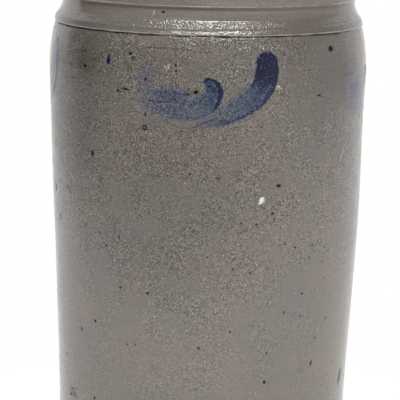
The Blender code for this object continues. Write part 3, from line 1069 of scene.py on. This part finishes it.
def unroll(mesh):
    """Lays the clay out flat, gives the foot its own finish, and returns the height of the strip."""
    flat = mesh.loops.layers.uv.new("OFBake")
    along = mesh.verts.layers.float["along"]
    start = min(vert[along] for vert in mesh.verts if vert.co.length > (FOOT_RADIUS - MAP_OVERLAP) * MM)
    lined = max(vert[along] for vert in mesh.verts if vert.co.z > (LINING_TOP - MAP_OVERLAP) * MM)
    for face in mesh.faces:
        middle = face.calc_center_median()
        facing = math.atan2(middle.x, -middle.y)
        below = middle.z < UNDERSIDE * MM and face.normal.z < FACING_DOWN
        face.material_index = int(below)
        inside = sum(vert[along] for vert in face.verts) / len(face.verts) > lined
        for loop in face.loops:
            place = loop.vert.co
            turn = math.atan2(place.x, -place.y)
            turn -= math.tau * round((turn - facing) / math.tau)
            across = (turn + math.pi) / math.tau
            if below:
                spot = [m + DISC_RADIUS * c / (FOOT_RADIUS * MM) for m, c in zip(DISC_MIDDLE, place)]
            elif inside:
                share = (loop.vert[along] - lined) / (ALL_ALONG - lined)
                spot = [INSIDE_LEFT + (MAP_EDGE - INSIDE_LEFT) * across,
                        INSIDE_LOW + (MAP_EDGE - INSIDE_LOW) * share]
            else:
                spot = [across, STRIP_TOP * (loop.vert[along] - start) / (lined - start)]
            loop[flat].uv = spot
    return lined - start


print(f"strip {unroll(shell):.0f} mm high")
make_piece("crock_clay", shell, [stoneware, foot_clay], "salt_glazed_stoneware", "crock_body")

# %% [markdown]
# ## The lining
#
# Salt vapour hardly reaches the inside of a jar, so the potter poured brown slip in, swirled it and
# tipped it out. It is a thin coat with a wavy upper edge, and it keeps the deep rings that the fingers
# left inside. It is spun from its own outline, out along the clay and back along its open face.

# %% Spin the lining
SLIP = 0.5
SNUG = 0.03
LINING_COLUMNS = 192
LINING_ROWS = 2.6


def lining_outline(inset):
    """Returns the corners of the inside of the wall, moved in by an inset, from the floor to the top."""
    return [
        (0.0, FLOOR + inset, 0.0),
        (FOOT_RADIUS - WALL + FLOOR_FLARE - inset, FLOOR + inset, FLOOR_ROUND),
        (WIDEST - WALL - inset, SHOULDER_UP, BELLY_ROUND),
        (BORE_RADIUS - inset, RING_UP, BORE_ROUND),
        (BORE_RADIUS - inset, LINING_TOP - 1.5 * inset, 0.0),
    ]


outer = lining_outline(SNUG)
inner = lining_outline(SLIP)
lining_mesh = draw_outline(outer + inner[::-1])
add_rows(lining_mesh, lambda middle: LINING_ROWS)
lining_mesh = spin_round(lining_mesh, LINING_COLUMNS)
print(f"lining with {len(lining_mesh.faces)} faces")

# %% [markdown]
# The fingers' rings are deepest on the inside, where nobody smoothed them, so the open face of the
# lining is pushed in and out in a slow screw. Its upper edge wavers, because the slip was poured.

# %% Press the rings into the lining
RING_PITCH = 11.0
RING_DEPTH = 0.5
EDGE_WAVER = 1.6
EDGE_TURNS = 2.2
EDGE_FADE = 14.0
EDGE_THIN = 4.0
RINGS_FROM = FLOOR + 4.0
RINGS_FULL = FLOOR + 22.0
RINGS_END = LINING_TOP - 3.0
FACING_IN = -0.5


def press_lining(mesh):
    """Rings the lining's open face and lets its upper edge waver, and returns how many points it rang."""
    edge_layer = mesh.verts.layers.float.new("edge")
    mesh.normal_update()
    rung = 0
    for vert in mesh.verts:
        up = vert.co.z / MM
        turn = math.atan2(vert.co.x, -vert.co.y)
        vert[edge_layer] = ease(LINING_TOP - EDGE_THIN, LINING_TOP, up)
        out = Vector((math.sin(turn), -math.cos(turn), 0.0))
        fade = ease(RINGS_FROM, RINGS_FULL, up) * ease(RINGS_END, LINING_TOP - EDGE_FADE, up)
        if vert.normal.dot(out) < FACING_IN and fade > 0:
            ring = 0.5 + 0.5 * math.sin(math.tau * up / RING_PITCH + turn)
            vert.co -= out * RING_DEPTH * ring * fade * MM
            rung += 1
        if up > LINING_TOP - EDGE_FADE:
            waver = noise.noise(Vector((EDGE_TURNS * math.cos(turn), EDGE_TURNS * math.sin(turn), 4.0)))
            vert.co.z += EDGE_WAVER * waver * ease(LINING_TOP - EDGE_FADE, LINING_TOP, up) * MM
    return rung


print(f"{press_lining(lining_mesh)} points of the lining ringed")

# %% [markdown]
# The slip is an earthy clay that melts to a brown glass by itself. It is nearly black where it lies
# thick and turns brown where it ran thin, above all at its upper edge.

# %% Make the brown slip
SLIP_BROWN = linear("#3b2417")
SLIP_DARK = linear("#21130d")
SLIP_THIN = linear("#5f4330")
CLOUD_SIZE = 26.0
RIPPLE_SIZE = 3.0
RIPPLE_DEPTH = 0.05
SLIP_GLOSSIEST = 0.12
SLIP_DULLEST = 0.3


def brown_slip():
    """Returns glossy slip, near black where it lies thick and brown where it ran thin."""
    material, tree, shader, place = new_finish("brown_slip")
    cloud = add(tree, "TexNoise", {}, {"Vector": place, "Scale": per_metre(CLOUD_SIZE), "Detail": 3.0})
    tone = add(tree, "MapRange", EASE, {0: cloud, 1: 0.35, 2: 0.65})
    colour = add(tree, "Mix", LAY_OVER, {0: tone, 6: SLIP_DARK, 7: SLIP_BROWN}, 2)
    edge = add(tree, "Attribute", {"attribute_name": "edge"}, {}, "Fac")
    colour = add(tree, "Mix", LAY_OVER, {0: edge, 6: colour, 7: SLIP_THIN}, 2)
    tree.links.new(colour, shader.inputs["Base Color"])
    fine = add(tree, "TexNoise", {}, {"Vector": place, "Scale": per_metre(RIPPLE_SIZE), "Detail": 2.0})
    roughness = add(tree, "MapRange", {}, {0: fine, 3: SLIP_GLOSSIEST, 4: SLIP_DULLEST})
    tree.links.new(roughness, shader.inputs["Roughness"])
    bump = add(tree, "Bump", {}, {"Height": fine, "Distance": RIPPLE_DEPTH * MM})
    tree.links.new(bump, shader.inputs["Normal"])
    return material


# Melted brown slip: a dark, wet gloss with a warm edge.
make_piece("slip_coat", lining_mesh, [brown_slip()], "brown_slip", "slip_lining")

# %% [markdown]
# ## Brushed cobalt
#
# A swag is two strokes of a round brush. The brush is pressed down full at the head, so the slip lies
# thick and dark there, and it runs dry towards the tail, where the clay shows through. Each stroke is
# a path with a half width and a load of slip at a few points of it, carried smoothly between them.

# %% Write down the two strokes
# Across from the swag's middle, up, half width, load of slip, and how far the slip pooled at the
# stroke's outer edge, or below zero on its inner half; from the dry tail to the full head.
LONG_STROKE = (
    (-9.0, 178.8, 1.2, 0.08, 0.0), (-0.8, 181.4, 2.8, 0.16, 0.4), (7.5, 184.6, 4.7, 0.28, 0.8),
    (14.3, 188.0, 5.7, 0.38, 0.9), (20.7, 191.5, 6.2, 0.48, 0.9), (26.2, 195.6, 6.3, 0.64, 0.8),
    (30.2, 201.2, 6.5, 1.1, 0.6), (31.9, 207.5, 6.4, 2.0, 0.4), (32.0, 212.6, 6.0, 1.8, 0.4),
)
SHORT_STROKE = (
    (-27.0, 209.0, 2.6, 0.09, 0.0), (-31.5, 206.0, 4.6, 0.14, 0.0), (-34.0, 200.6, 5.0, 0.12, 0.0),
    (-30.6, 194.0, 6.2, 0.2, -0.08), (-23.0, 190.8, 7.8, 0.28, -0.18), (-15.5, 190.0, 8.2, 0.3, -0.15),
    (-8.5, 189.0, 7.0, 0.3, 0.0), (-2.0, 190.2, 6.0, 0.38, 0.3), (2.6, 194.4, 5.2, 0.6, 1.2),
    (3.2, 199.4, 4.4, 0.7, 1.4), (0.4, 202.8, 2.4, 1.1, 0.9),
)
TRAIL_STEPS = 24


def smooth_trail(knots):
    """Carries a stroke smoothly through its knots, and returns its many points."""
    padded = [knots[0], *knots, knots[-1]]
    trail = []
    for before, start, end, after in zip(padded, padded[1:], padded[2:], padded[3:]):
        for step in range(TRAIL_STEPS):
            t = step / TRAIL_STEPS
            trail.append([
                0.5 * (2 * b + (c - a) * t + (2 * a - 5 * b + 4 * c - d) * t * t
                       + (3 * b - a - 3 * c + d) * t * t * t)
                for a, b, c, d in zip(before, start, end, after)
            ])
    trail.append(list(knots[-1]))
    return trail


def trail_map(trail):
    """Returns a tree that finds the point of a trail nearest to a place."""
    tree = kdtree.KDTree(len(trail))
    for number, knot in enumerate(trail):
        tree.insert((knot[0], knot[1], 0.0), number)
    tree.balance()
    return tree


long_trail = smooth_trail(LONG_STROKE)
short_trail = smooth_trail(SHORT_STROKE)
long_map = trail_map(long_trail)
short_map = trail_map(short_trail)
print(f"strokes of {len(long_trail)} and {len(short_trail)} points")

# %% [markdown]
# Slip doesn't lie evenly across a stroke. It pools at the outer edge of the curve, the hairs leave
# streaks, and the edge is crisp where the brush was wet and ragged where it was dry. All of it can be
# told from how far a place is from the trail and on which side of it.

# %% Find how much slip the brush left at a place
EDGE_CRISP = 0.5
EDGE_DRY = 2.4
EDGE_HAZE = 1.4
EDGE_RAGGED = 0.9
RAGGED_DRY = 1.2
POOL_WIDTH = 0.9
POOL_SPREAD = 1.5
STREAKS = 0.3
STREAK_GAP = 0.85


def slip_at(trail, tree, across, up, seed):
    """Returns the load of slip that one stroke leaves at a place of the flat swag."""
    near, number, distance = tree.find((across, up, 0.0))
    _, _, half, load, pooled = trail[number]
    ahead = trail[min(number + 1, len(trail) - 1)]
    behind = trail[max(number - 1, 0)]
    aside = (ahead[1] - behind[1]) * (across - near.x) - (ahead[0] - behind[0]) * (up - near.y)
    side = aside / max(math.dist(ahead[:2], behind[:2]) * half, 1e-6)
    outer = ease(-0.3, 0.3, side)
    spot = Vector((across, up, seed))
    ragged = EDGE_RAGGED * (noise.noise(spot / 1.9) + 0.8 * noise.noise(spot / 0.8))
    dry = ease(0.95, 0.3, load)
    haze = ease(0.2, 0.1, load)
    soft = EDGE_CRISP + EDGE_DRY * dry * (1 - 0.6 * outer) + EDGE_HAZE * EDGE_DRY * haze
    inside = half - distance + ragged * (1 + RAGGED_DRY * dry) * (1 - 0.7 * outer)
    cover = ease(-0.7 * soft, soft, inside)
    wide = POOL_WIDTH * (1 + POOL_SPREAD * max(pooled - POOL_WIDTH, 0.0))
    pool = max(pooled, 0.0) * ease(2.2 * wide, 0.4 * wide, inside) * outer
    pool += max(-pooled, 0.0) * ease(0.1, -0.5, side)
    hairs = math.cos(math.tau * (side - STREAK_GAP) / STREAK_GAP)
    streak = STREAKS * ease(0.4, 0.8, load) * abs(pooled) * hairs
    patchy = 0.35 * noise.noise(spot / 5.0) + 0.3 * noise.noise(spot / 1.5)
    patchy += 0.3 * haze * noise.noise(spot / 3.0)
    return cover * max(load * (1 + patchy + streak) + pool, 0.0)


print("slip in the long head:", round(slip_at(long_trail, long_map, 31.0, 210.0, 0.0), 2))

# %% [markdown]
# A stroke is a skin of slip that follows the wall. It starts as a flat grid over the whole swag. Each
# point is given the slip of the two strokes and laid on the wall, prouder where more slip lies, and
# the faces without slip are dropped. What is left is split in two by the stroke that it belongs to,
# and solidify turns each half into a closed flake.

# %% Load a flat grid with slip
# Left, right, low and high ends of the flat swag, and the steps of its grid, in millimetres.
SWAG = (-46.0, 44.0, 172.0, 222.0)
GRID_NEAR = 0.45
GRID_FAR = 0.7


def loaded_grid(left, right, low, high, step, slips):
    """Returns a flat grid in millimetres, with the load of each of some strokes in its own layer."""
    grid = bmesh.new()
    bmesh.ops.create_grid(grid, x_segments=round((right - left) / step),
                          y_segments=round((high - low) / step), size=0.5)
    layers = [grid.verts.layers.float.new(name) for name in (*slips, "cobalt", "iron")]
    for vert in grid.verts:
        vert.co.x = left + (vert.co.x + 0.5) * (right - left)
        vert.co.y = low + (vert.co.y + 0.5) * (high - low)
        for layer, slip_of in zip(layers, slips.values()):
            vert[layer] = slip_of(vert.co.x, vert.co.y)
    return grid


print(f"swag of {SWAG[1] - SWAG[0]:.0f} by {SWAG[3] - SWAG[2]:.0f} mm, in steps of {GRID_NEAR} mm in front")

# %% Keep the part of the grid that is one stroke's own
LEAST_SLIP = 0.015


def own_part(grid, name):
    """Returns a copy of the grid with the faces on which the named stroke has the most slip."""
    part = grid.copy()
    layers = part.verts.layers.float
    others = [layers[other] for other in layers.keys() if other not in (name, "cobalt", "iron")]
    own = layers[name]
    strange = []
    for face in part.faces:
        most = max(vert[own] for vert in face.verts)
        rival = max((vert[other] for vert in face.verts for other in others), default=0.0)
        if most < max(LEAST_SLIP, rival):
            strange.append(face)
    bmesh.ops.delete(part, geom=strange, context="FACES")
    return part


print("faces with a load under", LEAST_SLIP, "are dropped")

# %% Lay a stroke on the wall
SKIN = 0.04
SKIN_SHARE = 0.7
SLIP_PROUD = 0.18
CRISP = math.radians(40)


def lay_on_wall(part, name, turn):
    """Lays a flat part on the wall at a turn, prouder where it has more slip, as a closed flake."""
    layers = part.verts.layers.float
    for vert in part.verts:
        around = vert.co.x + turn * ROUND_THE_JAR
        up = vert.co.y
        load = vert[layers[name]]
        iron, _, dent = flaws_at(on_wall(around, up), around, up)
        vert[layers["cobalt"]] = load
        vert[layers["iron"]] = iron
        facing = around / ROUND_THE_JAR
        proud = SKIN + SLIP_PROUD * min(load, 1.0) + hand_push(facing, up) - tool_cut(facing, up)
        vert.co = on_wall(around, up, proud - dent)
    bmesh.ops.solidify(part, geom=part.faces[:], thickness=SKIN_SHARE * SKIN * MM)
    bmesh.ops.recalc_face_normals(part, faces=part.faces[:])
    for face in part.faces:
        face.smooth = True
    for edge in part.edges:
        edge.smooth = edge.calc_face_angle(0.0) < CRISP
    return part


print("slip stands", SLIP_PROUD, "mm proud at a full head")

# %% Paint the four swags
# Where each swag's middle lies round the jar, in degrees, and how full the brush was for it.
SWAGS = {"front": (0.0, 1.0), "right": (81.0, 0.9), "back": (172.0, 1.0), "left": (267.0, 0.32)}
SEED_STEP = 9.0

for number, (side, (degrees, full)) in enumerate(SWAGS.items()):
    seed = SEED_STEP * number
    swag = loaded_grid(*SWAG, GRID_FAR if number else GRID_NEAR, {
        "long": lambda across, up: full * slip_at(long_trail, long_map, across, up, seed),
        "short": lambda across, up: full * slip_at(short_trail, short_map, across, up, seed),
    })
    for length in ("long", "short"):
        stroke = lay_on_wall(own_part(swag, length), length, math.radians(degrees))
        make_piece(f"{side}_{length}_slip", stroke, [cobalt], "cobalt_slip", f"{side}_{length}_stroke")
    swag.free()

# %% Let one drop fall beside the front swag
DROP_ACROSS = -56.5
DROP_UP = 212.0
DROP_HALF = 2.7
DROP_LOAD = 1.7
DROP_WIDE = 1.05
DROP_TAPER = 0.6
DROP_EDGE = (1.25, 0.7)
DROP_ROOM = (4.0, 6.0)


def drop_slip(across, up):
    """Returns the load of slip of a drop that hit the wall and ran down a little."""
    rise = (up - DROP_UP) / DROP_HALF
    aside = (across - DROP_ACROSS) / (DROP_WIDE - DROP_TAPER * rise)
    return DROP_LOAD * ease(*DROP_EDGE, math.hypot(aside, rise))


drop_grid = loaded_grid(DROP_ACROSS - DROP_ROOM[0], DROP_ACROSS + DROP_ROOM[0], DROP_UP - DROP_ROOM[1],
                        DROP_UP + DROP_ROOM[1], GRID_NEAR, {"drop": drop_slip})
drop = lay_on_wall(own_part(drop_grid, "drop"), "drop", 0.0)
make_piece("cobalt_drop", drop, [cobalt], "cobalt_slip", "cobalt_drip")
drop_grid.free()

# %% [markdown]
# ## The studio
#
# The jar stands on white paper under a wide soft lamp, high in front, which makes the broken line of
# light on the ring. A second soft lamp hangs behind it and lights the rim and the shoulder from above.
# Both are area lamps, because a small lamp would make hard points on a glaze.

# %% Hang the two lamps
LAMP_WIDE = 0.97
LAMP_DEEP = 0.33
LAMP_PLACE = Vector((0.03, -0.705, 1.2))
LAMP_WATTS = 14.3
TOP_LIGHT_WIDE = 1.0
TOP_LIGHT_WATTS = 20.0
TOP_LIGHT_PLACE = (0.0, 0.8, 1.3)

lamp_data = bpy.data.lights.new("softbox", "AREA")
lamp_data.shape = "RECTANGLE"
lamp_data.size = LAMP_WIDE
lamp_data.size_y = LAMP_DEEP
lamp_data.energy = LAMP_WATTS
lamp = bpy.data.objects.new("softbox", lamp_data)
aim = Vector((0.0, 0.0, GROOVE_UP * MM)) - LAMP_PLACE
lamp.matrix_world = Matrix.Translation(LAMP_PLACE) @ aim.to_track_quat("-Z", "Y").to_matrix().to_4x4()
scene.collection.objects.link(lamp)

top_data = bpy.data.lights.new("top_light", "AREA")
top_data.size = TOP_LIGHT_WIDE
top_data.energy = TOP_LIGHT_WATTS
top_light = bpy.data.objects.new("top_light", top_data)
top_light.location = TOP_LIGHT_PLACE
scene.collection.objects.link(top_light)
print("lamps at", [round(value, 2) for value in LAMP_PLACE], "and", list(TOP_LIGHT_PLACE))

# %% [markdown]
# The world is the room. A glossy round thing mirrors what is behind it at its edges, so the wall behind
# is the same white that the camera sees. In front, the room is dim on the left, where it is shaded,
# and lighter on the right, and the ceiling is dim, so that the ring mirrors the lamp alone.

# %% Paint the room
WHITE = 1.0
ROOM_LEFT = 0.05
ROOM_RIGHT = 0.74
CEILING = 0.22
DIM_UNTIL = -0.6
CEILING_FROM = 0.1
CEILING_FULL = 0.45
BACK_EDGE = math.cos(math.radians(59))
BACK_SOFT = 0.02

world = bpy.data.worlds.new("studio_room")
world.use_nodes = True
scene.world = world
tree = world.node_tree
way = add(tree, "TexCoord", {}, {}, "Generated")
across = add(tree, "SeparateXYZ", {}, {0: way}, "X")
depth = add(tree, "SeparateXYZ", {}, {0: way}, "Y")
above = add(tree, "SeparateXYZ", {}, {0: way}, "Z")
room = add(tree, "MapRange", EASE, {0: across, 1: DIM_UNTIL, 2: 1.0, 3: ROOM_LEFT, 4: ROOM_RIGHT})
room = add(tree, "MapRange", EASE, {0: above, 1: CEILING_FROM, 2: CEILING_FULL, 3: room, 4: CEILING})
behind = add(tree, "MapRange", EASE, {0: depth, 1: BACK_EDGE - BACK_SOFT, 2: BACK_EDGE + BACK_SOFT})
seen = add(tree, "LightPath", {}, {}, "Is Camera Ray")
through = add(tree, "LightPath", {}, {}, "Is Transmission Ray")
white = add(tree, "Math", LARGER, {0: behind, 1: seen})
white = add(tree, "Math", LARGER, {0: white, 1: through})
strength = add(tree, "Mix", {}, {0: white, 2: room, 3: WHITE})
tree.links.new(strength, tree.nodes["Background"].inputs["Strength"])
tree.nodes["Background"].inputs["Color"].default_value = linear("#ffffff")
print(f"room from {ROOM_LEFT} to {ROOM_RIGHT} of white")

# %% [markdown]
# The paper is white for the camera and in mirror images, because it glows for those rays. Close to the
# foot it glows less and shows its own lit surface, so the jar keeps a soft shadow under it.

# %% Make the white paper
PAPER_WHITE = linear("#f4f4f2")
PAPER_ROUGHNESS = 0.9
GLOW_NEAR = 0.45
GLOW_FROM = FOOT_RADIUS + 2.0
GLOW_TO = FOOT_RADIUS + 70.0

# Matt paper: an even white without gloss.
paper, tree, shader, place = new_finish("white_paper")
shader.inputs["Base Color"].default_value = PAPER_WHITE
shader.inputs["Roughness"].default_value = PAPER_ROUGHNESS
away = add(tree, "VectorMath", {"operation": "LENGTH"}, {0: place}, "Value")
share = add(tree, "MapRange", EASE, {0: away, 1: GLOW_FROM * MM, 2: GLOW_TO * MM, 3: GLOW_NEAR, 4: WHITE})
seen = add(tree, "LightPath", {}, {}, "Is Camera Ray")
for rays in ("Is Glossy Ray", "Is Transmission Ray"):
    others = add(tree, "LightPath", {}, {}, rays)
    seen = add(tree, "Math", LARGER, {0: seen, 1: others})
share = add(tree, "Math", TIMES, {0: seen, 1: share})
glow = add(tree, "Emission", {}, {"Color": linear("#ffffff"), "Strength": WHITE})
surface = add(tree, "MixShader", {}, {0: share, 1: shader.outputs[0], 2: glow})
tree.links.new(surface, tree.nodes["Material Output"].inputs["Surface"])
print(f"paper glows fully from {GLOW_TO:.0f} mm off the jar's axis")

# %% Lay the paper under the jar
PAPER_RADIUS = 1.1
PAPER_BACK = 0.25
PAPER_UNDER = 0.2
PAPER_SIDES = 96

floor_mesh = bmesh.new()
bmesh.ops.create_circle(floor_mesh, cap_ends=True, segments=PAPER_SIDES, radius=PAPER_RADIUS,
                        matrix=Matrix.Translation((0.0, PAPER_BACK, -PAPER_UNDER * MM)))
floor_data = bpy.data.meshes.new("paper_floor")
floor_mesh.to_mesh(floor_data)
floor_mesh.free()
floor_data.materials.append(paper)
floor = bpy.data.objects.new("paper_floor", floor_data)
scene.collection.objects.link(floor)
print("floor of", 2 * PAPER_RADIUS, "m")
